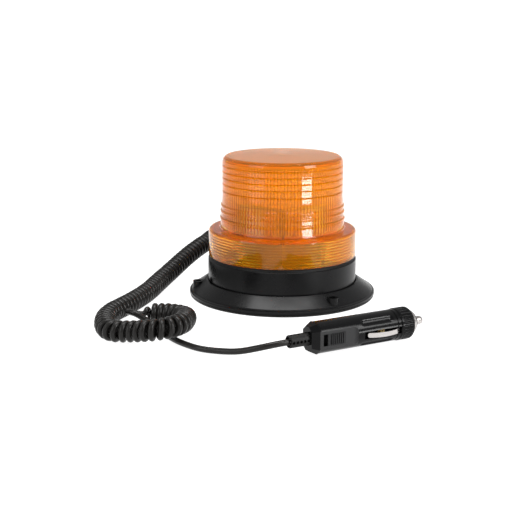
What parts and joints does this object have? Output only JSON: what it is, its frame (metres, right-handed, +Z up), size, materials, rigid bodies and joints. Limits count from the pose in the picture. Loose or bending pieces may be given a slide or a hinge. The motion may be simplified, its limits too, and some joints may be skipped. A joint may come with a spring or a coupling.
{
  "type": "led warning beacon",
  "caption": "Round amber LED warning beacon with a ribbed lens on a black magnetic base, with a curly lead ending in a switched 12 V accessory plug.",
  "frame": {"origin": "centre of the beacon's rubber underside, on the surface that it stands on", "axes": "+Z up through the lens, -Y towards the plug and the front, +X towards the plug's nose"},
  "size_m": [0.2147, 0.265, 0.1034],
  "materials": {
    "amber_lens": "clear moulded amber polycarbonate, glossy",
    "black_housing": "black moulded plastic, satin gloss",
    "black_rubber": "matt black rubber",
    "ferrite": "dark grey sintered ferrite",
    "zinc_steel": "zinc plated steel",
    "green_board": "green lacquered circuit board",
    "white_board": "white lacquered aluminium-core board",
    "led_yellow": "yellow phosphor under a clear dome",
    "column_aluminium": "extruded aluminium, plain",
    "reflector_white": "white glossy plastic",
    "component_black": "black epoxy and sleeved capacitors",
    "terminal_green": "green plastic terminal",
    "wire_red": "soft coloured wire jacket",
    "cord_jacket": "satin black cord jacket",
    "plug_black": "black moulded plastic, fine satin",
    "switch_black": "black moulded plastic, matt",
    "nickel": "bright nickel plate",
    "brass": "plain brass",
    "spring_steel": "drawn spring wire",
    "fuse_glass": "clear glass with plated end caps"
  },
  "bodies": {
    "beacon_base": {"base_flange": "black_housing", "base_pad": "black_rubber", "ring_magnet": "ferrite", "magnet_plate": "zinc_steel", "plate_screws": "zinc_steel", "base_screws": "zinc_steel", "base_housing": "black_housing", "lens_seal": "black_rubber", "circuit_board": "green_board", "board_screws": "zinc_steel", "heatsink_column": "column_aluminium", "column_screws": "zinc_steel", "column_cap": "reflector_white", "led_boards": "white_board", "led_emitters": "led_yellow", "driver_parts": "component_black", "terminal_block": "terminal_green", "internal_leads": "wire_red", "cord_grommet": "black_rubber", "cord_lead": "cord_jacket", "curly_cord": "cord_jacket", "cord_tail": "cord_jacket", "plug_boot": "black_rubber", "plug_collar": "plug_black", "plug_shell_front": "plug_black", "plug_shell_back": "plug_black", "shell_screw": "zinc_steel", "plug_leads": "wire_red", "switch_base": "switch_black", "switch_terminals": "brass", "ground_strap": "brass", "fuse_sleeve": "switch_black", "fuse_socket": "brass", "fuse_spring": "spring_steel"},
    "lens": {"lens_dome": "amber_lens"},
    "switch": {"switch_slider": "switch_black", "switch_wiper": "brass"},
    "leaf_front": {"contact_leaf_front": "nickel"},
    "leaf_back": {"contact_leaf_back": "nickel"},
    "nose_bush": {"tip_bush": "switch_black"},
    "nose_cap": {"nose_cap": "plug_black", "cap_ring": "nickel"},
    "tip": {"tip_pin": "nickel", "fuse": "fuse_glass"}
  },
  "joints": [
    {"name": "lens_twist", "type": "hinge", "parent": "beacon_base", "child": "lens", "pos_m": [0, 0, 0.028], "axis": [0, 0, 1], "range_deg": [0, 20]},
    {"name": "switch_slide", "type": "slide", "parent": "beacon_base", "child": "switch", "axis": [-0.8634, -0.5045, 0], "range_m": [0, 0.003]},
    {"name": "leaf_front_press", "type": "slide", "parent": "beacon_base", "child": "leaf_front", "axis": [-0.5045, 0.8634, 0], "range_m": [0, 0.0012], "stiffness_N_per_m": 800},
    {"name": "leaf_back_press", "type": "slide", "parent": "beacon_base", "child": "leaf_back", "axis": [0.5045, -0.8634, 0], "range_m": [0, 0.0012], "stiffness_N_per_m": 800},
    {"name": "cap_travel", "type": "slide", "parent": "beacon_base", "child": "nose_bush", "axis": [0.8634, 0.5045, 0], "range_m": [0, 0.0045]},
    {"name": "cap_turn", "type": "hinge", "parent": "nose_bush", "child": "nose_cap", "pos_m": [0.004, -0.156, 0.0105], "axis": [0.8634, 0.5045, 0], "range_deg": [0, 1080]},
    {"name": "tip_press", "type": "slide", "parent": "nose_bush", "child": "tip", "axis": [-0.8634, -0.5045, 0], "range_m": [0, 0.002], "stiffness_N_per_m": 800, "deforming": ["fuse_spring"]}
  ],
  "couplings": [
    {"joint": "cap_travel", "follows": "cap_turn", "m_per_rad": 0.00023873}
  ]
}
